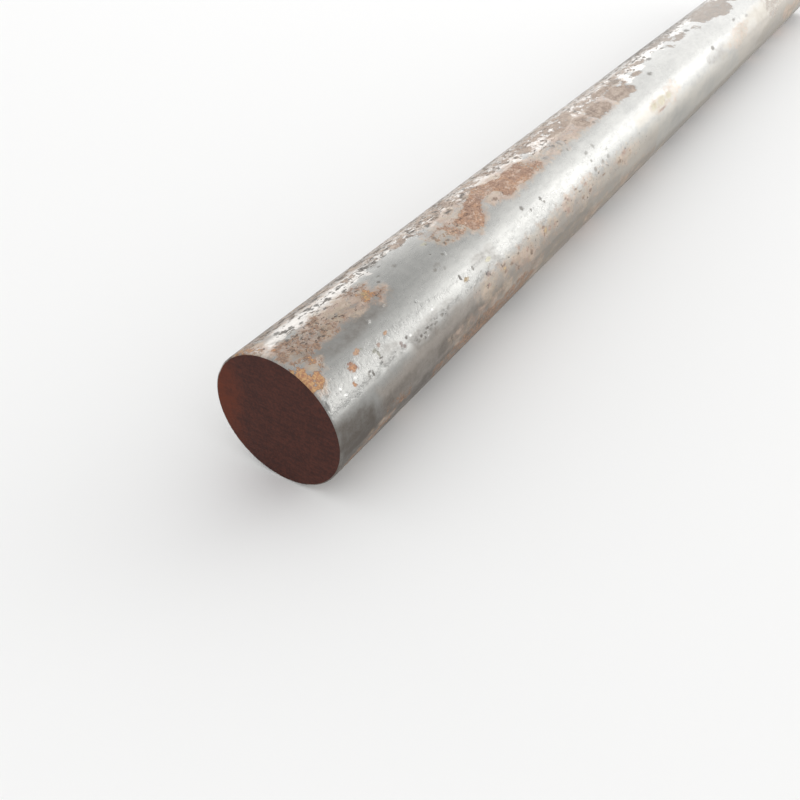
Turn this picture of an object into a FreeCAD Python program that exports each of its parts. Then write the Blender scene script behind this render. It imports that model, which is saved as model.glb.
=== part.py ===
# Hot-rolled round steel bar, cut to a stock length.
# It lies on level ground along X: the cut end that faces the viewer is at -X,
# the far end at +X, and Z = 0 is the ground under the middle of the bar.
# Lengths are in millimetres.

import FreeCAD, Part
import Sketcher
import os

# alias, value, what the value is
SIZES = [
    ("bar_diameter", 75.0, "rolled diameter"),
    ("bar_length", 1000.0, "length over the two sawn ends"),
    ("edge_bevel", 0.6, "bevel filed on each sawn edge to take off the burr"),
]

NODE = "round_bar"


def make_size_sheet(doc):
    """The driving dimensions, one row each: name, value, meaning."""
    sheet = doc.addObject("Spreadsheet::Sheet", "Sizes")
    for row, (alias, value, meaning) in enumerate(SIZES, start=1):
        sheet.set(f"A{row}", alias)
        sheet.set(f"B{row}", str(value))
        sheet.set(f"C{row}", meaning)
        sheet.setAlias(f"B{row}", alias)
    doc.recompute()
    return sheet


def origin_plane(body, role):
    return next(f for f in body.Origin.OriginFeatures if f.Role == role)


def draw_section(body):
    """The round section, across the bar, with its lowest point on the ground."""
    section = body.newObject("Sketcher::SketchObject", "RolledSection")
    section.AttachmentSupport = [(origin_plane(body, "YZ_Plane"), "")]
    section.MapMode = "FlatFace"
    start_radius = 30.0
    centre = FreeCAD.Vector(0, start_radius, 0)
    circle = section.addGeometry(
        Part.Circle(centre, FreeCAD.Vector(0, 0, 1), start_radius), False
    )
    # The circle's centre, its point 3, lies on the upright axis, which is -2,
    # half a diameter above the sketch's origin, which is point 1 of -1.
    section.addConstraint(Sketcher.Constraint("PointOnObject", circle, 3, -2))
    round_size = section.addConstraint(
        Sketcher.Constraint("Diameter", circle, 2 * start_radius)
    )
    height = section.addConstraint(
        Sketcher.Constraint("DistanceY", -1, 1, circle, 3, start_radius)
    )
    section.renameConstraint(round_size, "diameter")
    section.renameConstraint(height, "axis_height")
    section.setExpression("Constraints.diameter", "Sizes.bar_diameter")
    section.setExpression("Constraints.axis_height", "Sizes.bar_diameter / 2")
    return section


def roll_bar(body, section):
    """The rolled length, half of it to each side of the origin."""
    rolled = body.newObject("PartDesign::Pad", "RolledLength")
    rolled.Profile = section
    rolled.SideType = "Symmetric"
    rolled.setExpression("Length", "Sizes.bar_length")
    return rolled


def bevel_sawn_edges(body, rolled):
    """A narrow bevel round both sawn ends."""
    rims = [
        f"Edge{number}"
        for number, edge in enumerate(rolled.Shape.Edges, start=1)
        if isinstance(edge.Curve, Part.Circle)
    ]
    bevel = body.newObject("PartDesign::Chamfer", "SawnEdges")
    bevel.Base = (rolled, rims)
    bevel.ChamferType = "Equal distance"
    bevel.setExpression("Size", "Sizes.edge_bevel")
    return bevel


def check_document(doc):
    """Stops if any object failed, or a body has no sound solid."""
    failed = [o.Label for o in doc.Objects if {"Invalid", "Error"} & set(o.State)]
    if failed:
        raise RuntimeError(f"these objects failed to build: {failed}")
    for body in doc.findObjects("PartDesign::Body"):
        if body.Shape.isNull() or not body.Shape.isValid():
            raise RuntimeError(f"{body.Label} has no valid shape")


def main():
    doc = FreeCAD.newDocument("RoundBar")
    make_size_sheet(doc)

    bar = doc.addObject("PartDesign::Body", "RoundBar")
    bar.Label = NODE
    section = draw_section(bar)
    rolled = roll_bar(bar, section)
    doc.recompute()
    bar.Tip = bevel_sawn_edges(bar, rolled)
    doc.recompute()

    check_document(doc)
    os.makedirs("parts", exist_ok=True)
    for body in doc.findObjects("PartDesign::Body"):
        body.Shape.exportStep(f"parts/{body.Label}.step")
        box = body.Shape.BoundBox
        print(
            f"{body.Label}: {box.XLength:.2f} x {box.YLength:.2f} x {box.ZLength:.2f} mm,"
            f" {body.Shape.Volume / 1000:.1f} cm3"
        )


main()
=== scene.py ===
import math
import bpy
import numpy as np
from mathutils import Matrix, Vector


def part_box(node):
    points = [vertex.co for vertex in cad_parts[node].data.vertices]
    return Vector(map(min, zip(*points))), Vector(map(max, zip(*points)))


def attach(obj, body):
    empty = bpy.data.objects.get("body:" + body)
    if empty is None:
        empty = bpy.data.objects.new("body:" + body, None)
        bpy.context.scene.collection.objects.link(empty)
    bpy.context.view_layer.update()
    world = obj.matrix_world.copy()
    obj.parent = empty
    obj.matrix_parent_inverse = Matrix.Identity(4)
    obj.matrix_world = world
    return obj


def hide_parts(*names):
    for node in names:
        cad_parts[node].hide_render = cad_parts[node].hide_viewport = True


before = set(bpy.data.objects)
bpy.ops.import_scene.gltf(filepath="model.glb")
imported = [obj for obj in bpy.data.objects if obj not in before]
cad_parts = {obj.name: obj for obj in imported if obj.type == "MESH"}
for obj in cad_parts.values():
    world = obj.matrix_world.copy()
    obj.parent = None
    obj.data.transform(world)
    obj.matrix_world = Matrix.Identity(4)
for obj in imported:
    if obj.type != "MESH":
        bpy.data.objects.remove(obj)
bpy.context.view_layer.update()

low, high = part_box("round_bar")
barStart = low[0]
barLength = 1000 * (high[0] - low[0])
barRadius = 1000 * (high[2] - low[2]) / 2
axisHeight = 1000 * (high[2] + low[2]) / 2
girth = 2 * math.pi * barRadius
mm = 0.001
print("frame loaded: bar", round(barLength), "mm long,", round(2 * barRadius), "mm across")


class Signal:
    # the output of a node; sums written with it become Math nodes
    def __init__(self, sheet, socket):
        self.sheet = sheet
        self.socket = socket

    def __add__(self, other):
        return self.sheet.math("ADD", self, other)

    def __sub__(self, other):
        return self.sheet.math("SUBTRACT", self, other)

    def __rsub__(self, other):
        return self.sheet.math("SUBTRACT", other, self)

    def __mul__(self, other):
        return self.sheet.math("MULTIPLY", self, other)

    __radd__ = __add__
    __rmul__ = __mul__


class NodeSheet:
    # one node tree, of a material or of the world
    def __init__(self, tree):
        self.tree = tree
        tree.nodes.clear()

    def node(self, kind, settings, sockets, output=0):
        made = self.tree.nodes.new(kind)
        for name, value in settings.items():
            if name == "stops":
                ramp = made.color_ramp
                for place, colour in value[1:-1]:
                    ramp.elements.new(place)
                for element, (place, colour) in zip(ramp.elements, value):
                    element.position = place
                    element.color = (*colour, 1)
            else:
                setattr(made, name, value)
        for name, value in sockets.items():
            socket = made.inputs[name]
            if isinstance(value, Signal):
                self.tree.links.new(value.socket, socket)
            elif socket.type == "RGBA":
                socket.default_value = (*value, 1)
            else:
                socket.default_value = value
        return Signal(self, made.outputs[output]) if made.outputs else None

    def math(self, operation, *inputs):
        return self.node("ShaderNodeMath", {"operation": operation}, dict(enumerate(inputs)))

    def greatest(self, signal, *others):
        for other in others:
            signal = self.math("MAXIMUM", signal, other)
        return signal

    def vector(self, operation, *inputs, output=0):
        return self.node("ShaderNodeVectorMath", {"operation": operation},
                         dict(enumerate(inputs)), output)

    def drawnOut(self, place, share):
        # squeezes places along the bar, which draws out a pattern made on them
        return self.vector("MULTIPLY", place, (share, 1.0, 1.0))

    def noise(self, place, cell, detail, roughness=0.55):
        # cell is the size of a blotch in mm, because places are in mm
        return self.node("ShaderNodeTexNoise", {}, {
            "Vector": place, "Scale": 1 / cell, "Detail": detail, "Roughness": roughness})

    def step(self, value, start, end):
        # 0 before start, 1 beyond end, smooth between
        return self.node("ShaderNodeMapRange", {"interpolation_type": "SMOOTHSTEP"}, {
            "Value": value, "From Min": start, "From Max": end})

    def mix(self, amount, under, over):
        return self.node("ShaderNodeMix", {"data_type": "RGBA"}, {0: amount, 6: under, 7: over}, 2)

    def blend(self, amount, under, over):
        # the same for numbers
        return self.node("ShaderNodeMix", {"data_type": "FLOAT"}, {0: amount, 2: under, 3: over})

    def ramp(self, value, stops):
        return self.node("ShaderNodeValToRGB", {"stops": stops}, {0: value})

    def field(self, name):
        # a number kept in the mesh's points
        return self.node("ShaderNodeAttribute", {"attribute_name": name}, {}, "Fac")

    def raysSeen(self):
        # 1 for what the camera sees straight, in a reflection or through glass
        straight, mirrored, through = (
            self.node("ShaderNodeLightPath", {}, {}, output)
            for output in ("Is Camera Ray", "Is Glossy Ray", "Is Transmission Ray"))
        return straight + mirrored + through

    def place(self):
        return self.node("ShaderNodeTexCoord", {}, {}, "Object")

    def placeInMm(self):
        return self.vector("MULTIPLY", self.place(), (1 / mm, 1 / mm, 1 / mm))

    def finish(self, height, sockets):
        # the shader of a material, with its finest relief, height, in mm
        normal = self.node("ShaderNodeBump", {}, {"Strength": 1.0, "Distance": mm, "Height": height})
        shader = self.node("ShaderNodeBsdfPrincipled", {}, {**sockets, "Normal": normal})
        self.node("ShaderNodeOutputMaterial", {}, {"Surface": shader})


def newMaterial(name):
    material = bpy.data.materials.new(name)
    material.use_nodes = True
    return material, NodeSheet(material.node_tree)


def newObject(name, data):
    made = bpy.data.objects.new(name, data)
    bpy.context.scene.collection.objects.link(made)
    return made


def oblong(start, end, upper, lower):
    # an outline with two sides along the bar and two round it
    return [(start, upper), (end, upper), (end, lower), (start, lower)]


barSkin = {
    "rimWear": 0.7,                   # mm, rounding of the sawn edges
    "columns": [(0, 0.8), (90, 1.15), (260, 1.9), (500, 3.6), (1000, None)],
    "seenSide": (-50, 118, 128),      # around, and how many rows of points lie there
    "hiddenRows": 48,
    "sawRings": [(1, 0.984), (1, 0.955), (1, 0.905), (1, 0.84), (2, 0.76), (2, 0.67), (2, 0.57),
                 (4, 0.46), (4, 0.36), (8, 0.26), (8, 0.17), (16, 0.08)],
    "sawWaviness": 0.10,              # mm, left by the saw
    "sheetSide": 566.0,               # mm, the flat sheet that the skin is laid out on
    "sheetGap": 5.0,
    "seed": 31,
    "outlineReach": 8.0,              # mm, how far off an outline still has an effect
    # soft random patterns: how strong they are, size in mm, seed, layers, lengthwise stretch
    "bends": {
        "along": (3, 9, 5, 3, 1), "around": (4, 8, 6, 3, 1),
        "hiddenAlong": (34, 30, 51, 3, 1), "hiddenAround": (40, 26, 52, 3, 1),
        "stripDrift": (14, 60, 70, 2, 3), "stripEdge": (22, 10, 71, 3, 1.6),
        "flaking": (0.3, 8, 75, 3, 1.6),
    },
    # the relief: how deep it is at least and how much deeper in places, in mm, then as above
    "relief": {
        "waves": (0, 0.05, 38, 80, 2, 1.5), "flaked": (0.03, 0.13, 4.6, 90, 3, 1.5),
        "crust": (0.07, 0.10, 2.6, 95, 2, 1), "rust": (0.08, 0.12, 2.2, 99, 2, 1),
    },
    "brownDepth": 0.05,               # mm
    # what the photograph hides: where it lies round the bar, and how many outlines of each
    # kind are drawn there at random, how long they are in mm and how solid
    "hiddenSide": (138, 296),
    "hidden": {
        "rust": (16, (14, 80), (0.5, 3)),
        "brown": (14, (20, 70), (-0.5, 0.4)),
        "crust": (60, (8, 50), (0, 1.6)),
        "film": (26, (20, 120), (-0.4, 1.6)),
        "orange": (22, (8, 24), (-0.6, 0.8)),
        "grime": (8, (40, 150), (0, 1.5)),
        "dust": (8, (60, 200), (-1, 1)),
        "pits": (24, (14, 90), (0.4, 1)),
    },
    # how deep single marks are, in mm
    "markDepth": {"pit": 0.104, "chip": 0.24, "smudge": 0.032, "maroon": 0.048, "olive": 0.048},
}

# Outlines drawn round each kind of weathering. The number before an outline is how
# solid it is: 3 is closed, 0 is half broken up, -1 leaves only crumbs, and what is
# below that only tints film, grime and dust.
barSkin["rust"] = [
    (3, [(156, 7), (164, 5), (174, 1), (180, -4), (188, -4), (190, 7), (187, 9), (183, 13),
         (178, 17), (176, 22), (172, 25), (168, 28), (164, 29), (161, 26), (158, 21), (155, 14)]),
    (0.1, [(145, 5), (144, 12), (146, 19), (152, 21), (158, 21), (160, 12), (158, 4), (151, 2)]),
    (0.5, [(186, -4), (194, -9), (200, -11), (206, -6), (208, 9), (196, 8), (187, 9)]),
    (3, [(205, -5), (214, -4), (221, -1), (228, -3), (237, -2), (244, 0), (245, 20), (238, 21),
         (220, 21), (213, 23), (209, 24), (205, 18), (206, 13), (204, 8)]),
    (0.3, [(242, -3), (248, 0), (250, 8), (257, 11), (259, 18), (252, 21), (242, 21)]),
    (-0.6, [(68, 13), (74, 12), (79, 14), (77, 18), (70, 19), (67, 17)]),
    (2, [(892, -2), (908, -6), (920, -3), (944, -2), (951, 9), (932, 16), (915, 10), (898, 9)]),
]
barSkin["brown"] = [
    (0.3, [(2, 4), (8, -4), (16, -7), (23, -1), (30, 1), (30, 12), (24, 18), (12, 20), (3, 18)]),
    (0.0, [(29, -6), (37, -7), (38, 4), (32, 7), (29, 3)]),
    (-0.4, [(28, 4), (42, 5), (48, 8), (45, 15), (36, 18), (29, 12)]),
    (0.1, [(58, -5), (68, -5), (74, -2), (72, 3), (66, 5), (60, 4)]),
    (0.3, [(68, 12), (74, 12), (79, 14), (77, 18), (70, 19), (66, 17)]),
    (-0.5, [(130, 4), (145, 2), (145, 20), (136, 19)]),
    (0.0, [(12, 111), (36, 106), (44, 107), (34, 116), (2, 116)]),
    (-0.1, [(84, 101), (118, 97), (124, 108), (118, 116), (84, 116)]),
    (0.1, [(944, 26), (960, 20), (974, 24), (1000, 20), (1000, 44), (978, 40), (962, 48)]),
    (0.3, [(114, 99), (138, 93), (160, 96), (188, 93), (206, 102), (196, 116), (112, 116)]),
    (-0.3, [(40, 92), (60, 91), (60, 101), (40, 101)]),
    (0.6, [(124, 105), (150, 100), (168, 104), (190, 102), (196, 116), (118, 116)]),
]
# grey-brown places where the scale has come off
barSkin["crust"] = [
    (-0.9, [(6, -48), (380, -48), (380, -26), (6, -27)]),
    (-0.7, [(94, -22), (106, -24), (106, -12), (95, -12)]), (0.2, oblong(262, 345, -28, -17)),
    (-0.5, oblong(345, 470, -30, -18)), (-0.1, [(345, -18), (470, -18), (470, -10), (345, -12)]),
    (0.6, oblong(516, 566, -24, -13)), (-0.4, [(470, -28), (640, -28), (640, -19), (470, -20)]),
    (0.4, oblong(345, 405, -12, -2)),
    (0.0, [(752, 42), (770, 36), (806, 37), (830, 58), (800, 64), (786, 78), (764, 70), (758, 56)]),
    (-0.8, [(100, -27), (430, -27), (430, -16), (110, -16)]),
    (0.2, [(70, -13), (73, -20), (82, -19), (79, -13)]),
    (0.8, [(113, -10), (117, -20), (127, -20), (127, -13), (121, -8)]),
    (1.5, [(131, -19), (137, -17), (137, -13), (131, -14)]),
    (0.0, [(129, -8), (135, -7), (135, -2), (130, -2)]),
    (1.0, [(139, -17), (146, -22), (152, -24), (150, -18), (146, -15)]),
    (1.5, [(142, -6), (145, -12), (149, -12), (147, -7)]),
    (1.0, [(151, -19), (157, -20), (155, -15), (151, -14)]),
    (0.6, [(157, -12), (160, -22), (166, -27), (169, -24), (166, -17), (161, -8)]),
    (1.5, [(161, -3), (163, -7), (168, -8), (168, -4)]),
    (2.0, [(171, -9), (172, -24), (180, -32), (186, -32), (180, -22), (177, -10)]),
    (0.6, [(182, -14), (186, -17), (188, -9), (184, -8)]),
    (0.8, [(192, -13), (197, -20), (203, -17), (202, -9), (196, -6)]),
    (0.4, [(202, -26), (209, -28), (214, -22), (208, -13)]),
    (0.4, [(220, -12), (220, -28), (226, -30), (227, -14)]),
    (0.7, [(230, -20), (240, -21), (250, -20), (252, -13), (240, -12), (231, -14)]),
    (0.8, [(249, -9), (256, -9), (258, -4), (252, -5)]),
    (0.7, [(259, -18), (266, -24), (277, -22), (276, -10), (271, -4), (262, 0), (259, -6)]),
    (0.3, [(283, -10), (290, -20), (301, -20), (300, -12), (292, -8)]),
    (0.6, [(291, -5), (300, -11), (298, -19), (312, -20), (330, -20), (345, -18), (343, -10),
         (334, -4), (325, 0), (316, 4), (306, 3), (296, 1)]),
    (1.2, [(325, 4), (331, 1), (339, 3), (342, 8), (340, 14), (336, 18), (328, 17), (324, 11)]),
    (3, [(349, 3), (356, 0), (366, 0), (374, 3), (379, 9), (380, 16), (374, 20), (360, 21),
         (350, 20), (346, 13), (344, 7)]),
    (2, [(386, 2), (392, -2), (404, -3), (411, 0), (415, 5), (421, 9), (425, 15), (424, 21),
         (414, 22), (398, 21), (388, 20), (385, 12)]),
    (1.0, [(381, -4), (381, -12), (392, -16), (398, -10), (412, -11), (428, -11), (430, -5),
         (418, -3), (408, -4), (396, -3)]),
    (1.0, [(420, 1), (428, 0), (429, 5), (424, 8), (418, 6)]),
    (0.5, [(386, -12), (424, -12), (424, -4), (386, -3)]),
    (0.2, [(357, -9), (366, -10), (365, -3), (372, -5), (379, -8), (376, -2), (366, 0)]),
    (0.3, [(440, -12), (450, -13), (460, -9), (457, -4), (446, -5)]),
    (0.8, [(440, 0), (450, 1), (458, 4), (457, 9), (448, 9), (441, 5)]),
    (0.2, [(466, -11), (480, -13), (487, -8), (482, -3), (470, -4)]),
    (0.0, [(524, -1), (532, 1), (536, 8), (528, 9)]),
    (0.9, [(541, -11), (556, -12), (563, -6), (575, -2), (572, 8), (562, 7), (545, 4)]),
    (-0.2, [(588, 3), (602, 2), (606, 12), (590, 12)]),
    (1.1, [(612, -6), (618, -14), (630, -22), (660, -26), (700, -24), (740, -22), (742, 0),
         (730, 8), (712, 14), (700, 4), (690, 18), (672, 22), (655, 20), (645, 14), (630, 12),
         (616, 8)]), (0.0, [(760, -30), (860, -26), (900, -8), (840, 4), (780, -2)]),
    (0.4, [(868, 52), (882, 44), (904, 50), (930, 45), (952, 58), (930, 62), (918, 72), (884, 64)]),
]
# thin pinkish film
barSkin["film"] = [
    (2.4, [(1, -4), (12, -8), (20, -3), (28, -6), (36, -8), (46, -5), (60, -6), (70, -4),
         (76, -1), (72, 4), (73, 10), (79, 13), (76, 17), (66, 17), (52, 18), (40, 16), (26, 18),
         (12, 18), (3, 16)]), (1.4, [(-2, -38), (10, -36), (11, -20), (7, -10), (-2, -6)]),
    (-1.0, [(10, -38), (130, -36), (130, -23), (60, -22), (10, -25)]),
    (1.2, [(8, 20), (13, 19), (16, 24), (15, 31), (9, 31), (5, 26)]),
    (0.6, [(1, 38), (9, 38), (9, 43), (5, 46), (1, 46)]),
    (0.2, [(130, 0), (145, -4), (176, -6), (176, 4), (160, 22), (146, 22), (138, 20), (131, 14)]),
    (1.8, [(146, -9), (160, -11), (180, -13), (182, -4), (160, 2), (148, 0)]),
    (1.6, [(188, 8), (200, -11), (244, -7), (250, 2), (262, 10), (262, 20), (212, 25), (196, 21),
         (189, 18)]), (0.4, [(256, 4), (292, 5), (292, 20), (258, 21)]),
    (1.8, [(290, 1), (300, -6), (330, -3), (345, 2), (345, 19), (320, 20), (296, 20)]),
    (0.6, [(340, 0), (356, -3), (386, -2), (388, 20), (342, 20)]),
    (-0.8, [(130, -34), (430, -36), (430, 0), (250, -3), (150, -3), (130, -12)]),
    (-1.7, [(130, 66), (180, 64), (300, 62), (380, 64), (380, 80), (210, 84), (150, 82),
         (130, 78)]), (-0.1, [(134, 68), (143, 65), (152, 66), (153, 75), (147, 79), (137, 77)]),
    (0.2, [(158, 64), (167, 64), (168, 74), (161, 76)]),
    (0.9, [(171, 70), (178, 68), (190, 70), (200, 71), (202, 80), (196, 84), (184, 84), (176, 80)]),
    (0.3, [(213, 64), (222, 66), (236, 70), (236, 76), (222, 77), (214, 75)]),
    (0.4, [(247, 62), (256, 59), (262, 66), (258, 77), (249, 76)]),
    (-1.0, [(262, 60), (296, 60), (290, 76), (270, 77)]),
    (0.6, [(334, 70), (350, 65), (365, 71), (361, 78), (340, 77)]),
    (-1.2, [(616, 57), (640, 47), (668, 43), (692, 50), (676, 62), (640, 68)]),
    (-1.4, [(452, 45), (476, 42), (484, 52), (470, 63), (454, 60)]),
    (-0.9, [(418, 50), (430, 47), (446, 50), (462, 50), (464, 55), (446, 57), (436, 61),
         (420, 58)]), (-0.8, [(20, 103), (38, 100), (44, 104), (30, 112), (16, 110)]),
    (-0.4, [(98, 86), (150, 84), (180, 88), (214, 92), (214, 112), (92, 112)]),
    (-1.4, [(210, 92), (300, 96), (420, 96), (420, 114), (210, 114)]),
    (1.0, [(283, 98), (310, 96), (312, 107), (285, 107)]),
    (0.8, [(820, 86), (840, 78), (862, 84), (884, 80), (912, 92), (890, 96), (876, 106),
         (836, 99)]), (0.2, [(936, 84), (968, 78), (1000, 84), (1000, 100), (972, 94), (950, 100)]),
    (1.2, [(858, -6), (884, -11), (905, -8), (950, -7), (968, 10), (940, 14), (926, 22),
         (880, 12)]), (1.0, [(346, 92), (366, 100), (366, 109), (350, 109)]),
]
# young orange rust
barSkin["orange"] = [
    (1.2, [(-2, 17), (3, 17), (5, 23), (4, 31), (9, 30), (10, 35), (8, 41), (3, 42), (-2, 40)]),
    (-0.3, [(8, 20), (14, 20), (16, 26), (14, 32), (11, 31), (13, 26)]),
    (0.3, [(-2, -36), (4, -33), (6, -20), (4, -12), (-2, -12)]),
    (0.4, [(63, 5), (68, 3), (72, 8), (71, 13), (66, 15), (62, 12)]),
    (0.8, [(994, 10), (1000, 8), (1000, 36), (996, 34)]),
]
# dark grime, and painted shade: the lower flank and underside, a patch above the near highlight, the
# far highlight and the upper far edge are darkened
barSkin["grime"] = [
    # painted shade: these six darken the lower flank and underside, as a reflection of dark ground
    # would
    (2, [(0, 71), (22, 71), (27, 78), (29, 92), (38, 99), (46, 108), (50, 130), (0, 130)]),
    (7, [(0, 90), (26, 90), (32, 97), (34, 103), (28, 108), (0, 106)]),
    (-0.9, [(24, 84), (120, 81), (250, 82), (340, 88), (360, 150), (24, 150)]),
    (1.0, [(0, 92), (60, 98), (110, 95), (200, 95), (330, 99), (330, 150), (0, 150)]),
    (0.2, [(330, 101), (640, 104), (1000, 106), (1000, 150), (330, 150)]),
    (1.4, [(190, 99), (420, 98), (420, 150), (190, 150)]),
    # painted shade: a darker reflection above the near highlight
    (-1.4, [(12, 11), (60, 13), (80, 19), (66, 25), (30, 27), (14, 24)]),
    # dims the far highlight: partly dull scale, partly painted shade
    (-2.4, [(560, 54), (640, 50), (760, 46), (1000, 44), (1000, 66), (600, 64)]),
    (-2.4, [(70, 59), (106, 59), (112, 63), (104, 67), (72, 67)]), (-2.4, oblong(46, 55, 55, 65)),
    (-3.2, oblong(18, 30, 63, 74)), (-2.8, oblong(140, 160, 48, 60)),
    # painted shade on the lower flank, here and in the next line
    (0.8, [(86, 83), (134, 81), (134, 92), (86, 92)]),
    (0.9, [(196, 87), (290, 87), (300, 100), (196, 98)]),
    (-1.6, [(91, -30), (118, -30), (118, -18), (99, -18), (98, -13), (92, -13)]),
    # painted shade on the lower flank, here and in the next line
    (2.8, [(134, 79), (164, 81), (164, 92), (132, 90)]),
    (-1.0, [(716, 90), (800, 68), (1000, 68), (1000, 110), (800, 110)]),
    # painted shade along the upper far edge, in this and the next three lines
    (1.0, [(0, -50), (62, -50), (60, -26), (0, -26)]), (0.2, oblong(6, 16, -26, -19)),
    (-1.0, oblong(60, 118, -50, -26)), (-1.0, oblong(144, 200, -50, -26)),
    (-2.2, oblong(200, 340, -50, -26)), (-2.4, oblong(340, 490, -50, -26)),
    (0.5, [(476, -36), (510, -50), (690, -50), (716, -38), (684, -24), (512, -22)]),
    # painted shade under the bar
    (0.5, oblong(0, 1000, 156, 220)),
]
# faint brownish tint of the underside, partly a stain and partly painted reflection of brownish
# ground
barSkin["stain"] = [
    (3, [(34, 72), (130, 66), (330, 66), (420, 74), (420, 116), (34, 116)]),
    (2, [(640, 64), (1000, 62), (1000, 108), (660, 108)]),
    (3, [(34, 102), (1000, 106), (1000, 250), (0, 250), (0, 108)]),
]
# pale dust that dulls the lower side; on the lower flank its pale colour is also painted sheen, a
# brighter reflection of the floor
barSkin["dust"] = [
    (2.2, [(386, 47), (426, 46), (430, 58), (384, 60)]),
    (1.2, [(420, 46), (468, 47), (474, 58), (420, 60)]),
    (1.8, [(606, 56), (650, 47), (690, 43), (740, 40), (740, 66), (630, 68)]),
    (3, [(710, 45), (760, 37), (1000, 34), (1000, 68), (710, 66)]),
    # painted sheen on the lower flank, in this outline and the next
    (0.0, [(130, 72), (170, 66), (250, 64), (640, 65), (1000, 64), (1000, 114), (200, 114),
         (150, 96)]),
    (1.2, [(300, 71), (420, 67), (640, 68), (1000, 66), (1000, 114), (320, 114), (280, 90)]),
]
# brightly glazed places in the strip along the upper far side
barSkin["glazed"] = [
    (3, [(22, -23), (84, -23), (84, -10), (74, -8), (62, -7), (44, -6), (12, -8), (14, -13)]),
    (3, [(150, -15), (158, -14), (157, -9), (150, -9)]),
    (3, [(187, -17), (193, -17), (192, -7), (187, -6)]),
    (3, [(204, -22), (220, -23), (220, -8), (222, -5), (256, -5), (252, -18), (258, -18),
         (257, -2), (250, 2), (247, -2), (206, -6)]),
    (3, [(262, -6), (282, -10), (297, -10), (296, 5), (262, 5)]),
    (2, [(278, -17), (292, -17), (290, -12), (278, -12)]),
    (3, [(341, -10), (346, -16), (356, -14), (356, -2), (343, 0)]),
    (2, [(360, -16), (378, -18), (380, -12), (362, -10)]),
    (3, [(427, -9), (442, -10), (440, 9), (426, 10)]),
    (3, [(452, -6), (470, -8), (470, 6), (458, 6)]),
]
# places in the strip where the scale is still plain
barSkin["plain"] = [
    (3, [(86, -11), (128, -12), (128, 4), (86, 4)]), (3, oblong(524, 560, -18, -12)),
]
# hammered and scuffed places
barSkin["rough"] = [
    (2, [(-2, 43), (36, 41), (100, 46), (150, 50), (150, 61), (60, 59), (-2, 60)]),
    (-0.8, [(150, 48), (256, 46), (256, 63), (150, 66)]),
    (-1.5, [(256, 46), (400, 44), (400, 62), (256, 63)]),
]
# how thickly small dark pits are sown, from 0 to 1, and where
barSkin["pits"] = [
    (0.3, oblong(6, 30, -22, -8)), (0.45, oblong(30, 68, -22, -8)),
    (0.6, [(-2, 52), (14, 54), (14, 62), (-2, 62)]), (0.65, oblong(68, 84, -22, -8)),
    (0.9, oblong(84, 97, -24, -8)), (0.6, [(98, -24), (132, -24), (132, -8), (112, -6), (98, -10)]),
    (0.85, oblong(-2, 640, -48, -23)), (0.95, [(7, -4), (40, -8), (46, 4), (44, 16), (10, 18)]),
    (0.7, [(38, -6), (60, -6), (56, 18), (40, 18)]), (1.0, [(56, -6), (77, -4), (70, 4), (60, 5)]),
    (0.8, [(66, 12), (79, 12), (78, 18), (68, 19)]),
    (0.8, [(132, -24), (204, -24), (204, -5), (132, -4)]), (0.75, oblong(222, 345, -24, -10)),
    (0.6, oblong(345, 440, -24, -4)), (0.75, oblong(440, 640, -28, -14)),
    (0.6, oblong(440, 640, -14, -4)), (0.9, [(144, 2), (158, 2), (158, 19), (145, 20)]),
    (0.5, [(158, 2), (188, -4), (205, -8), (258, 0), (258, 20), (206, 23), (178, 20), (164, 28)]),
    (0.6, oblong(258, 345, -4, 20)), (0.55, [(72, 58), (108, 58), (104, 68), (74, 68)]),
    (0.35, [(20, 100), (30, 60), (60, 58), (60, 66)]),
    (0.6, [(130, 62), (200, 63), (300, 58), (400, 60), (400, 80), (170, 82), (130, 76)]),
    (0.15, oblong(200, 340, 34, 58)),
]
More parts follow.
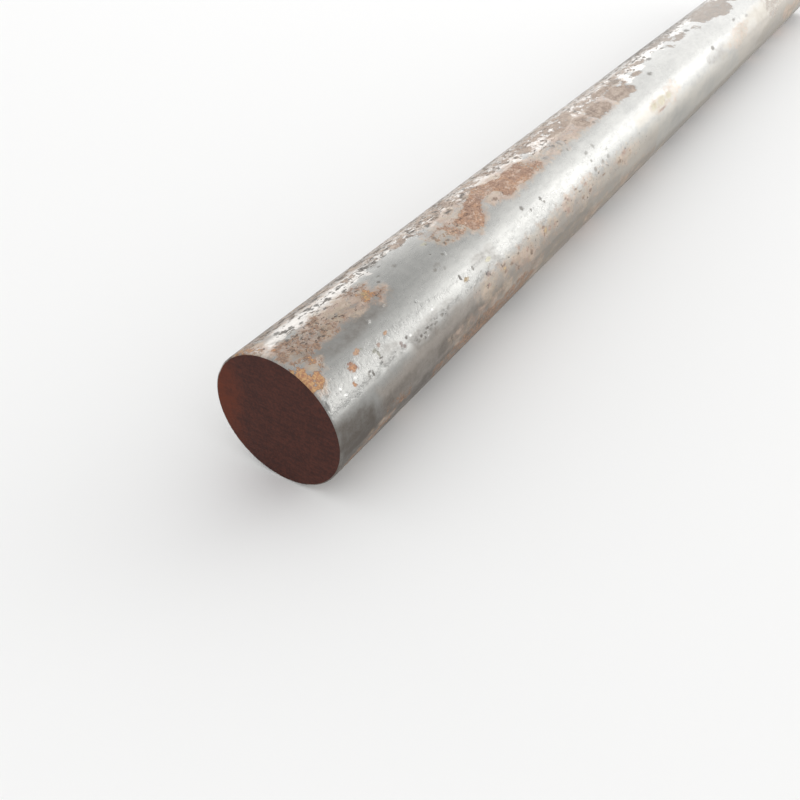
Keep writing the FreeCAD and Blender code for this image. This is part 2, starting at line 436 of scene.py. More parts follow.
# single marks: along, around, length and width in mm
barSkin["marks"] = {
    "blister": [
        (52.8, 27, 3.2, 2.8), (67.4, 25.5, 3, 1.6), (127.6, 25, 3.2, 2.2), (43, 56.4, 3, 1.4),
        (60.5, 14, 2.4, 2.0), (86, 39.6, 2.6, 2),
    ],
    # painted glints: small bright metal flecks where dent rims catch the light
    "fleck": [
        (86, 39, 2.2, 1.8), (69, 56, 2, 1.8), (13, 50, 1.8, 1.8), (57.6, 42, 1.4, 1.2),
        (0.8, 62, 1.2, 3), (81, 66.5, 1.8, 1), (24, 51.5, 2.6, 1.6), (14, 56.5, 2.2, 1.4),
        (92, 52.5, 1.8, 1.4),
    ],
    "pit": [
        (80, 7.5, 1.9, 1.7), (92, -5, 1.8, 1.8), (119.5, 17, 1.7, 1.3), (134.5, 17.5, 2, 1.8),
        (138, 17.5, 2.4, 2), (43.5, 8, 2.4, 1.6), (15, -3, 3, 2), (25.5, 6, 1.8, 2.4),
        (28, 14, 1.6, 1.6), (8, -4.5, 1.2, 3), (5, -11, 1.8, 1.8), (35, 58.5, 1.5, 3.2),
        (33.5, 55.4, 2.4, 1.2), (44.3, 53.5, 2.8, 1.3), (65.6, 55.2, 2, 1.6), (76, 62.5, 2.2, 1.8),
        (78.4, 66, 1.3, 1.3), (82.5, 61, 2.2, 1.4), (123.5, 48.5, 1.8, 2.8), (145.3, 61.6, 2, 1.2),
        (148.5, 64.8, 1.6, 1), (125.2, 8, 2.2, 1), (100.5, 86, 2, 4), (161.5, 65, 1.2, 1),
    ],
    "smudge": [
        (134, 8, 3.2, 2.4), (97, 5, 3, 2.8), (84, 3, 3, 1.6), (73, 64.5, 3.4, 1.3),
        (112.5, 30.5, 3.6, 1.4), (136.6, 49.5, 1.6, 2.6), (206, 38.5, 3, 3.2),
        (212.8, 45, 2.4, 1.8), (227.6, 43, 2.6, 3.4), (229.4, 48, 2, 2.2), (283.5, 11, 3.4, 2.8),
        (340.5, 19.5, 4, 2.6), (458, 17, 7, 3.6), (582, 45, 8, 4), (664, 34, 9, 2.6),
        (582, 0, 8, 5), (487, -1, 8, 4), (521, -2, 8, 3), (97, 61.3, 2.8, 1.4),
        # the first three here lie beside blisters: dark arcs, partly rust and partly painted shade
        # in the crevice
        (50.6, 26.4, 1.3, 2.6), (65.2, 25, 1.4, 1.2), (125.6, 24, 1.6, 1.8), (80, 63.4, 2.4, 1.6),
        (86, 61.5, 2, 1.2), (71.5, 62.5, 2, 1.2), (90, 63, 3, 1.4),
    ],
    "faint": [
        (84.5, 64, 2.6, 1.8), (88, 66, 1.6, 1.8), (99.5, 59, 1.6, 1.4), (103.5, 60.5, 2.6, 1.4),
        (116, 28, 5.5, 3.2), (119, 34.5, 2, 1.6), (142, 56.5, 2.2, 1.2), (265, 16.5, 3.4, 2.2),
        (283.6, 21, 5, 1.6), (289.5, 24, 2.2, 3.6), (290.5, 13, 2.6, 6), (303, 39, 4.4, 2.4),
        (315, 38, 3, 4.4), (302.5, 49, 2.8, 2), (303, 58.5, 5, 3.4), (316, 57.5, 5, 3.2),
        (326, 57.5, 4.4, 3.6), (328, 50, 3, 1.6), (697, 42, 9, 3), (133, 77, 3.4, 2.6),
        (99, 97, 2.4, 4), (5, 48, 2.6, 1.6), (56.5, 5.5, 2, 1.4), (58.5, 16, 3.2, 2.2),
        (52, 18, 2.4, 1.6), (32.2, 57.5, 1.5, 3.2), (127, 54.8, 5.2, 0.9), (421, -6.5, 16, 6.5),
    ],
    "spot": [
        (19, -17.3, 4.2, 3.8), (20.5, -11.5, 2.6, 1.6), (16, -12.5, 1.6, 1.2),
        (25.5, -19, 2.2, 1.6), (25.5, -12.8, 2.6, 1.4), (30, -8.6, 3.4, 1.6), (35.5, -16, 2.6, 1.4),
        (38.5, -14.8, 2, 1.6), (43, -19, 4.4, 2.2), (43, -14.5, 4, 2.2), (47.3, -15, 3, 3.6),
        (46, -18.3, 2, 1.6), (51, -14.6, 1.4, 1), (54.3, -13.2, 1.6, 1.6), (60.3, -13.8, 2.2, 1.4),
        (65.8, -14.8, 3, 1), (53, -24, 7, 2.6), (34.5, -22.3, 2.8, 1.6), (82, -13, 2, 2.4),
        (88.5, -16, 3.2, 3), (92.7, -19.3, 1.6, 1.6), (92.6, -14.5, 1.6, 1.8),
        (118.5, -10, 2.2, 1.4), (115, -23.5, 3, 1.2), (42.5, -8, 3, 1.2), (46, -5.4, 2.2, 1.6),
        (102.5, -12.5, 3.4, 2.2), (134.5, -15, 5, 3), (141.8, -16, 3.4, 1.6), (145, -8.6, 5.6, 3),
        (149, -20, 3, 2.4), (152.5, -17.5, 3, 1.8), (144.5, -12.8, 6, 1), (158.6, -12.5, 2.8, 2.6),
        (164.5, -6, 6.6, 2.2), (163.5, -19, 2.4, 4.4), (185.5, -11, 2.4, 3), (222.5, -14, 4, 2),
        (220.5, -28, 3, 5), (253.5, -8, 4, 2),
    ],
    "chip": [(1.2, 54, 2.2, 6)],
    "paleOrange": [(34, 38.6, 4.6, 2.8), (55.5, 41.8, 2.6, 1.8)],
    "emberOrange": [(26.2, 45, 5.4, 4.8), (21.6, 55, 2.8, 3.2), (6.2, -3.5, 3, 2.6)],
    "red": [
        (24, 45, 2.2, 1.8), (25.8, 41.6, 2.4, 1.3), (28.6, 46.5, 1.2, 2.4), (22.7, 56.4, 1.4, 1.1),
    ],
    "maroon": [
        (60.5, 56.5, 2.6, 3.6), (62.2, 59.6, 2, 2.4), (147, 63, 4.6, 3.2), (253, 60, 3.6, 1.6),
        (255, 62.5, 3, 1.8),
    ],
    "olive": [(43.5, 46.5, 4.4, 2.6), (44, 50, 1.8, 4), (37.2, 39, 1.4, 1.4)],
    "rose": [
        (47.5, 45, 2.4, 2.4), (145, 72, 3.6, 2.8), (184, 64.5, 2.6, 2.6), (193, 72, 2.6, 2.4),
        (224, 72, 4.6, 3), (232, 73, 4, 2.6), (252.5, 72, 5, 4), (283, 63, 6, 2.6), (351, 67, 7, 3),
        (436, 60, 16, 2),
    ],
    "brownSpot": [
        (163.5, 67, 4.6, 1.6), (164.4, 73, 3, 2), (172.5, 71.5, 3.6, 2), (179.4, 80.8, 2.2, 2.2),
        (197.3, 77.5, 3.2, 4), (216.5, 66.5, 3.6, 2), (216, 73.5, 1.8, 2.4), (276, 73, 4, 2),
        (288, 72.5, 4.8, 2.6), (269, 60, 5, 1.6), (341, 72, 8, 2.6), (313, 70, 7, 1.4),
        (196, 15.5, 4.6, 2.6),
    ],
    "yellow": [(164, 70, 3.6, 2.2), (218.5, 70.5, 4.4, 3.6)],
    "ochre": [(127, 52.8, 5, 2.4), (67, 8, 4.6, 3.4), (65, 12.6, 3.4, 2.4)],
    "paleYellow": [
        (125, 6.2, 5, 2.6), (152.5, 52.5, 6, 2.2), (425, 51, 13, 6), (441, 51.5, 17, 7),
        (456, 52, 13, 5),
    ],
}


def spaced(stops):
    # marks from each start to the next, in steps near the one given
    marks = []
    for (start, step), (end, _) in zip(stops, stops[1:]):
        marks.extend(np.linspace(start, end, round((end - start) / step), endpoint=False))
    return np.array(marks + [stops[-1][0]])


def cloud(u, v, cellU, cellV, seed, octaves, around=None):
    # layered random values from about 0 to 1; around closes them in v
    total = np.zeros(np.broadcast(u, v).shape)
    weight = 1.0
    for octave in range(octaves):
        wide = cellU / 2 ** octave
        tall = cellV / 2 ** octave
        rows = 256
        if around:
            rows = max(3, round(around / tall))
            tall = around / rows
        turns = np.random.default_rng(seed + 7 * octave).random((256, rows)) * 2 * math.pi
        p, q = u / wide, v / tall
        i, j = np.floor(p).astype(int), np.floor(q).astype(int)
        p, q = p - i, q - j
        sp, sq = p * p * (3 - 2 * p), q * q * (3 - 2 * q)
        corners = []
        for di, dj in ((0, 0), (1, 0), (0, 1), (1, 1)):
            turn = turns[(i + di) % 256, (j + dj) % rows]
            corners.append(np.cos(turn) * (p - di) + np.sin(turn) * (q - dj))
        nearRow = corners[0] * (1 - sp) + corners[1] * sp
        farRow = corners[2] * (1 - sp) + corners[3] * sp
        total += weight * (nearRow * (1 - sq) + farRow * sq)
        weight *= 0.5
    return 0.5 + 0.75 * total


def smooth(value, start, end):
    t = np.clip((value - start) / (end - start), 0, 1)
    return t * t * (3 - 2 * t)


def turned(around, centre):
    # the way round from centre, in degrees, from -180 to 180
    return (around - centre + 180) % 360 - 180


def insideOf(outline):
    # how many mm each point of the skin lies inside an outline, negative outside it
    reach = barSkin["outlineReach"]
    middle = sum(side for at, side in outline) / len(outline)
    corners = [(at, math.radians(side - middle) * barRadius) for at, side in outline]
    u, v = bendAlong, np.radians(turned(bendAround, middle)) * barRadius
    us, vs = zip(*corners)
    near = (u > min(us) - reach) & (u < max(us) + reach)
    near &= (v > min(vs) - reach) & (v < max(vs) + reach)
    p, q = u[near], v[near]
    nearest = np.full(p.shape, reach)
    inside = np.zeros(p.shape, bool)
    for (u0, v0), (u1, v1) in zip(corners, corners[1:] + corners[:1]):
        du, dv = u1 - u0, v1 - v0
        t = np.clip(((p - u0) * du + (q - v0) * dv) / (du * du + dv * dv), 0, 1)
        nearest = np.minimum(nearest, np.hypot(p - u0 - t * du, q - v0 - t * dv))
        if dv:
            inside ^= ((v0 > q) != (v1 > q)) & (p < u0 + (q - v0) * du / dv)
    result = np.full(u.shape, -reach)
    result[near] = np.where(inside, nearest, -nearest)
    return result


def weathered(shapes):
    # the outlines of one kind together; each one rises no higher than its solidness
    field = np.full(bendAlong.shape, -barSkin["outlineReach"])
    for solid, outline in shapes:
        field = np.maximum(field, np.minimum(insideOf(outline), solid))
    return field


def outlines(kind):
    # those listed, then more of the same on the sides that the photograph hides
    shapes = list(barSkin[kind])
    count, sizes, solids = barSkin["hidden"].get(kind, (0, (), ()))
    for _ in range(count):
        middle, side = rng.uniform(0, barLength), rng.uniform(*barSkin["hiddenSide"])
        length = rng.uniform(*sizes)
        height = math.degrees(length * rng.uniform(0.3, 0.7) / barRadius)
        outline = []
        for turn in np.linspace(0, 2 * math.pi, 11, endpoint=False):
            spread = rng.uniform(0.2, 0.58)
            outline.append((middle + length * spread * math.cos(turn),
                            side + height * spread * math.sin(turn)))
        shapes.append((rng.uniform(*solids), outline))
    return shapes


rng = np.random.default_rng(barSkin["seed"])
columns = spaced(barSkin["columns"])
startRow, endRow, seenRows = barSkin["seenSide"]
rows = np.concatenate([
    np.linspace(startRow, endRow, seenRows, endpoint=False),
    np.linspace(endRow, startRow + 360, barSkin["hiddenRows"], endpoint=False)])
rows = np.sort(turned(rows, 0))

# the worn rim is three more rings at each end
wear = barSkin["rimWear"]
rimTurn = np.radians([0, 30, 60, 90])
rimAlong = wear * (1 - np.sin(rimTurn))
rimDrop = wear * (1 - np.cos(rimTurn))
body = columns[(columns > wear * 1.3) & (columns < barLength - wear * 1.3)]
ringAlong = np.concatenate([rimAlong[::-1], body, barLength - rimAlong])
ringDrop = np.concatenate([rimDrop[::-1], 0 * body, rimDrop])
along, around = np.meshgrid(ringAlong, rows, indexing="ij")
ringDrop = ringDrop[:, None] + 0 * along
arc = (around % 360) / 360 * girth


def onBar(cell, seed, octaves, stretch):
    return cloud(along, arc, cell * stretch, cell, seed, octaves, girth)


def bend(name):
    amount, *pattern = barSkin["bends"][name]
    return amount * (onBar(*pattern) - 0.5)


# where each kind of weathering lies; outlines are bent more on the sides out of sight
outOfSight = smooth(abs(turned(around, 34)), 90, 116)
bendAlong = along + bend("along") + outOfSight * bend("hiddenAlong")
bendAround = around + bend("around") + outOfSight * bend("hiddenAround")
fields = {}
for kind in ("rust", "brown", "crust", "film", "orange", "grime", "dust", "stain", "rough"):
    fields[kind] = weathered(outlines(kind))
fields["film"] = np.maximum(fields["film"], fields["rust"] + 1.5)
fields["pits"] = np.zeros(along.shape)
for amount, outline in outlines("pits"):
    sown = amount * smooth(insideOf(outline), -2.5, 2.5)
    fields["pits"] = np.maximum(fields["pits"], sown)

# the flaked strip along the upper far side, and another one underneath
drift = bend("stripDrift")
strip = smooth(turned(around + drift, -70), -16, 10)
strip *= 1 - smooth(turned(around + bend("stripEdge"), -4), -8, 4)
under = smooth(turned(around + drift, 138), -10, 8)
under *= 1 - smooth(turned(around + drift, 196), -12, 12)
flaked = np.maximum(strip, 0.8 * under)
flaked = np.maximum(flaked, smooth(weathered(barSkin["glazed"]), -1.5, 1.5))
fields["flaked"] = flaked * (1 - smooth(weathered(barSkin["plain"]), -1.5, 1.5))

marks = np.zeros(along.shape)
for kind, markDepth in barSkin["markDepth"].items():
    for at, side, length, width in barSkin["marks"][kind]:
        across = np.radians(turned(around, side)) * barRadius
        reach = np.hypot((along - at) * 2 / length, across * 2 / width)
        marks = np.maximum(marks, markDepth * (1 - smooth(reach, 0.3, 1.15)))


# how deep the skin lies under the rolled diameter, in mm
def relief(name, sharpen=lambda values: values):
    least, more, *pattern = barSkin["relief"][name]
    return least + more * sharpen(onBar(*pattern))


flakedAmount = smooth(fields["flaked"] + bend("flaking"), 0.35, 0.75)
depth = relief("waves")
depth += flakedAmount * relief("flaked", lambda values: smooth(values, 0.54, 0.76))
for kind in ("crust", "rust"):
    depth += smooth(fields[kind], -0.8, 0.8) * relief(kind)
depth += barSkin["brownDepth"] * smooth(fields["brown"], -1, 0.5) + marks + ringDrop
depth = np.clip(depth, 0, None)

radius = barRadius - depth
angle = np.radians(around)
barrelPoints = np.stack([
    barStart + along * mm,
    -radius * np.sin(angle) * mm,
    (axisHeight + radius * np.cos(angle)) * mm], axis=-1)
print("relief worked out on", along.size, "points")

# faces of the barrel, and the flat layout that carries its pattern
ringCount, rowCount = along.shape
sheetSide, sheetGap = barSkin["sheetSide"], barSkin["sheetGap"]
points = list(map(tuple, barrelPoints.reshape(-1, 3)))
fields = {name: list(values.ravel()) for name, values in fields.items()}
faces, faceLayout, faceFinish = [], [], []


def barrelSpot(ring, row):
    # place on the layout sheet: two strips, each half of the bar unrolled
    turn = rows[row % rowCount] + (360 if row >= rowCount else 0)
    return ringAlong[ring], (turn - rows[0]) / 360 * girth


for ring in range(ringCount - 1):
    halfway = ringAlong[ring] >= barLength / 2 - 0.01
    for row in range(rowCount):
        nextRow = (row + 1) % rowCount
        faces.append((ring * rowCount + row, ring * rowCount + nextRow,
                      (ring + 1) * rowCount + nextRow, (ring + 1) * rowCount + row))
        spots = [barrelSpot(ring, row), barrelSpot(ring, row + 1),
                 barrelSpot(ring + 1, row + 1), barrelSpot(ring + 1, row)]
        for at, up in spots:
            u = sheetGap + at - (barLength / 2 if halfway else 0)
            v = sheetGap + up + (girth + sheetGap if halfway else 0)
            faceLayout.append((u / sheetSide, v / sheetSide))
        faceFinish.append(0)


def addEnd(outerRing, inward, centreU):
    # inward is +1 at the near end and -1 at the far one
    where = barStart if inward > 0 else barStart + barLength * mm
    previous = [outerRing * rowCount + row for row in range(rowCount)]
    previousSkip = 1

    def spot(index):
        x, y, z = points[index]
        u = centreU + y / mm
        v = 2 * (girth + sheetGap) + sheetGap + barRadius + z / mm - axisHeight
        return u / sheetSide, v / sheetSide

    def addFace(loop):
        loop = list(reversed(loop)) if inward > 0 else loop
        faces.append(tuple(loop))
        faceLayout.extend(spot(index) for index in loop)
        faceFinish.append(1)

    def addPoint(y, z):
        wave = cloud(np.array(z), np.array(y), 9, 60, 17 if inward > 0 else 23, 3)
        points.append((where + inward * barSkin["sawWaviness"] * float(np.clip(wave, 0, 1)) * mm,
                       y * mm, (axisHeight + z) * mm))
        for values in fields.values():
            values.append(0.0)
        return len(points) - 1

    for skip, share in barSkin["sawRings"]:
        inner = []
        for row in range(0, rowCount, skip):
            reach = (barRadius - wear) * share
            inner.append(addPoint(-reach * math.sin(math.radians(rows[row])),
                                  reach * math.cos(math.radians(rows[row]))))
        count = len(inner)
        for k in range(count):
            following = (k + 1) % count
            if skip == previousSkip:
                addFace([previous[k], previous[following], inner[following], inner[k]])
            else:
                a, b, c = previous[2 * k], previous[2 * k + 1], previous[(2 * k + 2) % len(previous)]
                addFace([a, b, inner[k]])
                addFace([b, c, inner[following], inner[k]])
        previous, previousSkip = inner, skip
    middle = addPoint(0, 0)
    for k in range(len(previous)):
        addFace([previous[k], previous[(k + 1) % len(previous)], middle])


addEnd(0, 1, sheetGap + barRadius)
addEnd(ringCount - 1, -1, 3 * sheetGap + 3 * barRadius)

mesh = bpy.data.meshes.new("barSkin")
mesh.from_pydata(points, [], faces)
mesh.polygons.foreach_set("material_index", faceFinish)
mesh.polygons.foreach_set("use_smooth", [True] * len(faces))
sheetMap = mesh.uv_layers.new(name="OFBake")
sheetMap.data.foreach_set("uv", np.array(faceLayout, dtype=np.float32).ravel())
for name, values in fields.items():
    mesh.attributes.new(name, "FLOAT", "POINT").data.foreach_set("value", values)
mesh.validate()
skin = newObject("barSkin", mesh)
triangles = sum(len(face) - 2 for face in faces)
print("skin built:", triangles, "triangles")


scaleFinish = {
    "rolledRoughness": 0.20,
    "rolledMetal": 0.95,
    "mattRoughness": 0.72,            # of what lies open: rust, crust and brown weathering
    "markRoughness": 0.65,
    # how an outline becomes a layer: mm inside it where the layer starts and where it is
    # full, and how much it covers there
    "layers": {
        "stain": (-4.5, 4.0, 0.34),
        "grime": (-5.5, 4.5, 0.92),
        "dust": (-4.5, 4.5, 0.6),
        "film": (-3.0, 2.6, 0.78),
        "brown": (-0.7, 0.7, 0.85),
        "crust": (-0.5, 0.6, 1.0),
        "rust": (-0.3, 0.5, 1.0),
        "orange": (-0.4, 0.5, 0.9),
    },
    "scaleDark": (0.272, 0.271, 0.260),
    "scaleLight": (0.340, 0.337, 0.322),
    "glaze": (0.50, 0.478, 0.45),
    "tanPink": (0.42, 0.30, 0.23),
    "tanYellow": (0.43, 0.335, 0.245),
    "filmPale": (0.62, 0.50, 0.41),
    "filmDark": (0.20, 0.145, 0.11),
    # brownish, for a stain and for painted reflection of brownish ground
    "stainAndReflectionTan": (0.35, 0.265, 0.20),
    # pale, for dust and for painted sheen
    "dustAndSheenTan": (0.50, 0.462, 0.40),
    "streak": (0.155, 0.135, 0.116),
    "brownDark": (0.145, 0.088, 0.058),
    "brownLight": (0.34, 0.21, 0.135),
    "crustDark": (0.235, 0.18, 0.145),
    "crustMid": (0.38, 0.285, 0.225),
    "crustPale": (0.55, 0.45, 0.37),
    # paler grey crust, partly weathering and partly painted sheen
    "crustGreyAndSheen": (0.46, 0.425, 0.39),
    "rustDark": (0.16, 0.09, 0.06),
    "rustMid": (0.40, 0.245, 0.17),
    "rustWarm": (0.48, 0.28, 0.175),
    "rustPale": (0.64, 0.49, 0.39),
    "orangeEdge": (0.27, 0.145, 0.095),
    "orangeDeep": (0.42, 0.18, 0.075),
    "orangePale": (0.58, 0.345, 0.15),
    # dark colour of grime and of painted shade
    "grime": (0.102, 0.084, 0.069),
    # dark pit colours: partly oxide, partly painted shade
    "pitGreyAndShade": (0.085, 0.080, 0.074),
    "pitBrownAndShade": (0.105, 0.068, 0.048),
    "spotRim": (0.21, 0.095, 0.062),
    # single marks: colour, how much it covers, and how matt it is
    "markColours": {
        # smudges; those beside blisters are partly painted shade
        "smudge": ((0.155, 0.14, 0.12), 0.60, 0.9),
        "faint": ((0.185, 0.17, 0.15), 0.42, 0.9),
        "spot": ((0.12, 0.112, 0.10), 0.72, 0.95),
        # painted glints
        "fleck": ((0.60, 0.60, 0.585), 0.40, 0.0),
        "olive": ((0.26, 0.25, 0.20), 0.65, 0.9),
        "rose": ((0.36, 0.24, 0.19), 0.65, 0.9),
        "brownSpot": ((0.22, 0.145, 0.10), 0.75, 0.9),
        "maroon": ((0.17, 0.105, 0.09), 0.50, 0.9),
        "paleYellow": ((0.50, 0.46, 0.30), 0.40, 0.7),
        "yellow": ((0.54, 0.40, 0.21), 0.75, 0.9),
        "ochre": ((0.37, 0.265, 0.14), 0.75, 0.9),
        "paleOrange": ((0.52, 0.315, 0.19), 0.85, 0.9),
        "emberOrange": ((0.47, 0.235, 0.11), 0.88, 0.9),
        "red": ((0.24, 0.095, 0.07), 0.50, 0.9),
        "chip": ((0.10, 0.096, 0.09), 0.50, 0.9),
        "pit": ((0.105, 0.088, 0.073), 0.68, 0.9),
    },
}


def nearestMark(sheet, place, marks):
    # 0 in the middle of the nearest mark, 1 at its edge, never more than the first value here
    reach = 9.0
    for at, side, length, width in marks:
        turn = math.radians(side)
        centre = (1000 * barStart + at,
                  -barRadius * math.sin(turn), axisHeight + barRadius * math.cos(turn))
        scales = (2 / length, 2 / width, 2 / width)
        shift = tuple(-c * s for c, s in zip(centre, scales))
        offset = sheet.vector("MULTIPLY_ADD", place, scales, shift)
        reach = sheet.math("MINIMUM", reach, sheet.vector("LENGTH", offset, output="Value"))
    return reach


def makeScaleFinish():
    colours = scaleFinish
    material, sheet = newMaterial("weatheredScale")
    place = sheet.placeInMm()
    drawn = sheet.drawnOut(place, 0.3)
    broad = sheet.noise(drawn, 14, 3)
    streaks = sheet.noise(drawn, 2.4, 3, 0.6)
    mottle = sheet.noise(place, 8, 4, 0.6)
    coarse = sheet.noise(place, 3.6, 4, 0.62)
    grain = sheet.noise(place, 1.1, 4, 0.65)
    fibrous = sheet.noise(sheet.drawnOut(place, 0.42), 4.8, 5, 0.68)

    # what breaks up the drawn outlines, in mm
    ragged = 5.0 * (coarse - 0.5) + 3.5 * (grain - 0.5)
    fibres = fibrous - 0.5
    broken = 0.8 * ragged + 5 * (mottle - 0.5) + 9 * (broad - 0.5)

    def layer(name, breaks):
        start, full, cover = colours["layers"][name]
        return sheet.step(sheet.field(name) + breaks, start, full) * cover

    # rolled scale: grey, faintly drawn out lengthwise
    tone = sheet.step(0.4 * broad + 0.3 * streaks + 0.3 * mottle, 0.36, 0.64)
    colour = sheet.mix(tone, colours["scaleDark"], colours["scaleLight"])
    roughness = colours["rolledRoughness"] + 0.12 * grain + 0.05 * mottle
    metal = colours["rolledMetal"]
    rough = sheet.step(sheet.field("rough") + ragged, -2.0, 2.0)
    height = (0.022 + 0.13 * rough) * coarse + (0.017 + 0.07 * rough) * grain

    # flaked strip: brighter, glazed scale between brown streaks
    flaked = sheet.step(sheet.field("flaked") + 0.3 * (coarse - 0.5), 0.36, 0.62)
    colour = sheet.mix(flaked, colour, colours["glaze"])
    height = height + flaked * (0.07 * coarse)
    strokes = sheet.noise(sheet.drawnOut(place, 0.5), 3.0, 4, 0.62)
    strokes = flaked * sheet.step(strokes + 0.10 * sheet.field("pits"), 0.595, 0.65)
    colour = sheet.mix(0.86 * strokes, colour, colours["streak"])

    # a brownish tint, partly a stain and partly painted reflection of brownish ground, then grime
    # and painted shade that darken and dull it
    colour = sheet.mix(layer("stain", 6 * (mottle - 0.5)), colour, colours["stainAndReflectionTan"])
    grime = layer("grime", broken)
    colour = sheet.mix(grime, colour, colours["grime"])
    roughness = roughness + 0.20 * grime

    # dust makes it paler and duller; on the lower flank the paler colour is also painted sheen
    dust = layer("dust", broken)
    colour = sheet.mix(dust, colour, colours["dustAndSheenTan"])
    roughness = roughness + 0.24 * dust
    metal = metal - 0.25 * dust

    # thin pinkish film
    film = layer("film", 1.7 * ragged + 9 * fibres)
    filmColour = sheet.mix(sheet.step(mottle, 0.42, 0.60), colours["tanPink"], colours["tanYellow"])
    filmColour = sheet.mix(0.45 * sheet.step(fibrous, 0.50, 0.60), filmColour, colours["filmPale"])
    filmColour = sheet.mix(0.45 * sheet.step(fibrous, 0.46, 0.38), filmColour, colours["filmDark"])
    colour = sheet.mix(film, colour, filmColour)
    height = height + film * (0.06 * coarse + 0.05 * grain)
    roughness = roughness + 0.16 * film
    metal = metal - 0.5 * film

    # brown weathering
    brown = layer("brown", 1.3 * ragged + 4 * fibres)
    brownTone = sheet.step(grain, 0.40, 0.60)
    brownColour = sheet.mix(brownTone, colours["brownDark"], colours["brownLight"])
    colour = sheet.mix(brown, colour, brownColour)

    # grey-brown places without scale
    crust = layer("crust", 1.2 * ragged + 7 * fibres)
    crumbs = 0.35 * grain + 0.25 * coarse + 0.4 * fibrous
    crustColour = sheet.ramp(crumbs, [
        (0.41, colours["crustDark"]), (0.49, colours["crustMid"]), (0.58, colours["crustPale"])])
    # further along the bar the crust turns paler grey: partly weathering, partly painted sheen of a
    # grazing view
    alongBar = sheet.node("ShaderNodeSeparateXYZ", {}, {0: place}, "X")
    crustColour = sheet.mix(0.6 * sheet.step(alongBar, -90, 60), crustColour, colours["crustGreyAndSheen"])
    colour = sheet.mix(0.92 * crust, colour, crustColour)

    # brown rust, crumbly and matt
    rust = layer("rust", 0.9 * ragged)
    rustTone = sheet.mix(sheet.step(mottle, 0.46, 0.60), colours["rustMid"], colours["rustWarm"])
    rustColour = sheet.mix(sheet.step(crumbs, 0.50, 0.60), rustTone, colours["rustPale"])
    rustColour = sheet.mix(sheet.step(crumbs, 0.47, 0.40), rustColour, colours["rustDark"])
    crevice = sheet.step(sheet.math("ABSOLUTE", sheet.noise(place, 3.0, 2) - 0.5), 0.035, 0.0)
    rustColour = sheet.mix(0.65 * crevice, rustColour, colours["rustDark"])
    colour = sheet.mix(rust, colour, rustColour)

    # orange rust, broken up, with a browner edge
    orange = layer("orange", 1.5 * ragged)
    orangeTone = sheet.step(grain, 0.40, 0.62)
    orangeColour = sheet.mix(orangeTone, colours["orangeDeep"], colours["orangePale"])
    orangeInside = sheet.step(sheet.field("orange") + 1.5 * ragged, 0.0, 1.2)
    orangeColour = sheet.mix(orangeInside, colours["orangeEdge"], orangeColour)
    colour = sheet.mix(orange, colour, orangeColour)

    matt = sheet.greatest(rust, orange, 0.85 * crust, 0.8 * brown, 0.85 * strokes)
    roughness = sheet.blend(matt, roughness, colours["mattRoughness"])
    metal = metal * (1 - matt)
    height = height + matt * (0.20 * grain + 0.08 * coarse - 0.08 * crevice)

    # small pits, thick in some places and few elsewhere; their dark colour is partly oxide and
    # partly painted shade in the hollows
    pitNoise = sheet.noise(sheet.drawnOut(place, 0.62), 1.5, 3, 0.55) + 0.20 * sheet.field("pits")
    pits = sheet.step(pitNoise, 0.745, 0.80)
    pitAndShadeColour = sheet.mix(sheet.greatest(matt, film), colours["pitGreyAndShade"], colours["pitBrownAndShade"])
    colour = sheet.mix(0.70 * pits, colour, pitAndShadeColour)
    height = height - 0.15 * sheet.step(pitNoise, 0.70, 0.86)
    roughness = roughness + 0.15 * pits

    # single marks, each kind in its own colour
    wobble = sheet.node("ShaderNodeTexNoise", {}, {
        "Vector": place, "Scale": 0.7, "Detail": 3}, "Color")
    markPlace = sheet.vector("SUBTRACT", place, (1.0, 1.0, 1.0))
    markPlace = sheet.vector("MULTIPLY_ADD", wobble, (2.0, 2.0, 2.0), markPlace)
    raggedMark = 2.0 * (grain - 0.5) + 1.6 * (coarse - 0.5)
    speckle = sheet.ramp(grain, [(0.34, (0.45, 0.45, 0.45)), (0.60, (1.5, 1.5, 1.5))])
    for kind, (markColour, cover, dullness) in colours["markColours"].items():
        reach = nearestMark(sheet, markPlace, barSkin["marks"][kind])
        mark = sheet.step(reach + raggedMark, 1.25, 0.6)
        shade = sheet.node("ShaderNodeMix", {"data_type": "RGBA", "blend_type": "MULTIPLY"}, {
            0: 0.75, 6: markColour, 7: speckle}, 2)
        if kind in ("paleOrange", "emberOrange", "yellow"):
            edge = sheet.step(reach + raggedMark + 1.6 * (grain - 0.5), 0.5, 0.9)
            shade = sheet.mix(0.6 * edge, shade, colours["spotRim"])
        colour = sheet.mix(cover * mark, colour, shade)
        if dullness:
            metal = metal * (1 - dullness * cover * mark)
            roughness = sheet.blend(cover * mark, roughness, colours["markRoughness"])
        if kind in ("pit", "chip"):
            height = height - 0.10 * sheet.step(reach, 1.3, 0.4)
    blisters = nearestMark(sheet, markPlace, barSkin["marks"]["blister"])
    height = height + 0.34 * sheet.step(blisters, 1.15, 0.1)

    sheet.finish(height, {"Base Color": colour, "Metallic": metal, "Roughness": roughness})
    return material


sawnFinish = {
    "maroon": (0.083, 0.0265, 0.0185),
    "deep": (0.042, 0.0150, 0.0120),
    "rimOrange": (0.150, 0.031, 0.0110),
    "roughness": 0.72,
    "gloss": 0.25,
}


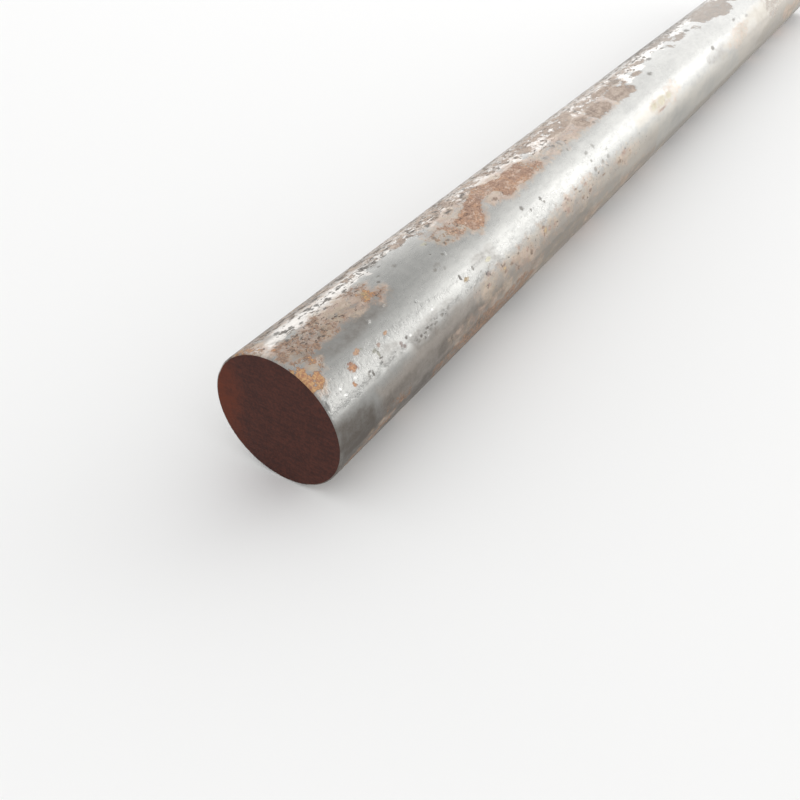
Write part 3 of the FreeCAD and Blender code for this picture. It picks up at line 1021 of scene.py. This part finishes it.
def makeSawnFinish():
    colours = sawnFinish
    material, sheet = newMaterial("sawnRust")
    place = sheet.placeInMm()
    blotch = sheet.noise(place, 7, 5, 0.6)
    grain = sheet.noise(place, 1.2, 4, 0.6)
    sawLines = sheet.noise(sheet.vector("MULTIPLY", place, (1.0, 0.10, 1.0)), 1.1, 3)
    tone = sheet.step(0.25 * blotch + 0.5 * grain + 0.25 * sawLines, 0.38, 0.62)
    colour = sheet.mix(tone, colours["deep"], colours["maroon"])
    side = sheet.node("ShaderNodeSeparateXYZ", {}, {0: place}, "Y")
    glow = sheet.step(side + 26 * (blotch - 0.5), 16, 40)
    colour = sheet.mix(glow * 0.7, colour, colours["rimOrange"])
    height = 0.05 * grain + 0.03 * sawLines + 0.05 * blotch
    sheet.finish(height, {"Base Color": colour, "Roughness": colours["roughness"] + 0.2 * grain,
                          "Specular IOR Level": colours["gloss"]})
    return material


mesh.materials.append(makeScaleFinish())
mesh.materials.append(makeSawnFinish())
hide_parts("round_bar")
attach(skin, "root")
print("finishes made")


studio = {
    "floorSize": 16.0,          # m
    "floorColour": (0.93, 0.93, 0.925),
    "floorFade": (1.8, 3.6),    # m from the bar, where the floor turns into the white background
    "air": 0.88,                # world light on matt surfaces
    "lampDistance": 6.0,        # m from the near end
    # softboxes as seen from there: degrees from the bar's length towards the camera side,
    # degrees up, width and height in m, brightness over a white card's
    "softboxes": {
        "windowSill": (34, 3.5, 5.3, 0.75, 0.7),
        "windowSide": (51, 4.5, 1.2, 1.0, 2.0),
        "windowLow": (36, 14.5, 5.0, 1.6, 2.05),
        "windowHigh": (25.5, 29, 3.6, 1.5, 0.65),
        "windowCore": (27, 20, 2.9, 2.4, 1.0),
        "windowFoot": (31, 3.5, 1.8, 0.75, 0.75),
        "farLow": (-9, 17, 4.1, 2.4, 1.35),
        "farHigh": (-14, 36, 5.5, 1.75, 0.3),
        "back": (-49, 14, 4.6, 2.3, 1.1),
    },
}

floorHalf = studio["floorSize"] / 2
floorMesh = bpy.data.meshes.new("paleFloor")
floorMesh.from_pydata([(floorHalf * right, floorHalf * back, 0)
                       for right, back in oblong(-1, 1, -1, 1)], [], [(0, 1, 2, 3)])
floor = newObject("paleFloor", floorMesh)
floorMaterial, floorSheet = newMaterial("paleFloor")
floorShader = floorSheet.node("ShaderNodeBsdfPrincipled", {}, {
    "Base Color": studio["floorColour"], "Roughness": 0.9})
away = floorSheet.vector("LENGTH", floorSheet.place(), output="Value")
fade = floorSheet.step(away, *studio["floorFade"]) * floorSheet.raysSeen()
white = floorSheet.node("ShaderNodeEmission", {}, {"Color": (1.0, 1.0, 1.0)})
floorShader = floorSheet.node("ShaderNodeMixShader", {}, {0: fade, 1: floorShader, 2: white})
floorSheet.node("ShaderNodeOutputMaterial", {}, {"Surface": floorShader})
floorMesh.materials.append(floorMaterial)

nearEnd = Vector((barStart, 0, axisHeight * mm))
for name, (aside, up, width, height, brightness) in studio["softboxes"].items():
    lamp = bpy.data.lights.new(name, "AREA")
    lamp.shape = "RECTANGLE"
    lamp.size = width
    lamp.size_y = height
    lamp.energy = brightness * math.pi * width * height
    softbox = newObject(name, lamp)
    aside, up = math.radians(aside), math.radians(up)
    outward = Vector((math.cos(up) * math.cos(aside), -math.cos(up) * math.sin(aside), math.sin(up)))
    softbox.location = nearEnd + studio["lampDistance"] * outward
    softbox.rotation_euler = (-outward).to_track_quat("-Z", "Y").to_euler()
    softbox.visible_camera = False

world = bpy.data.worlds.new("studioAir")
bpy.context.scene.world = world
world.use_nodes = True
air = NodeSheet(world.node_tree)
strength = air.blend(air.raysSeen(), studio["air"], 1.0)
background = air.node("ShaderNodeBackground", {}, {"Color": (1.0, 1.0, 1.0), "Strength": strength})
air.node("ShaderNodeOutputWorld", {}, {"Surface": background})
print("studio lit")


cameraSetup = {
    "place": (-0.7169, -0.2088, 0.2970),     # m
    "heading": 32.757,                       # degrees from the bar's length, swung to its back
    "down": 39.780,
    "fieldOfView": 51.413,
}

lens = bpy.data.cameras.new("photoCamera")
lens.sensor_fit = "HORIZONTAL"
lens.angle = math.radians(cameraSetup["fieldOfView"])
lens.clip_start = 0.01
camera = newObject("photoCamera", lens)
camera.location = cameraSetup["place"]
camera.rotation_euler = (math.radians(90 - cameraSetup["down"]), 0,
                         math.radians(cameraSetup["heading"] - 90))
bpy.context.scene.camera = camera
bpy.context.scene.view_settings.view_transform = "Standard"
print("camera placed")
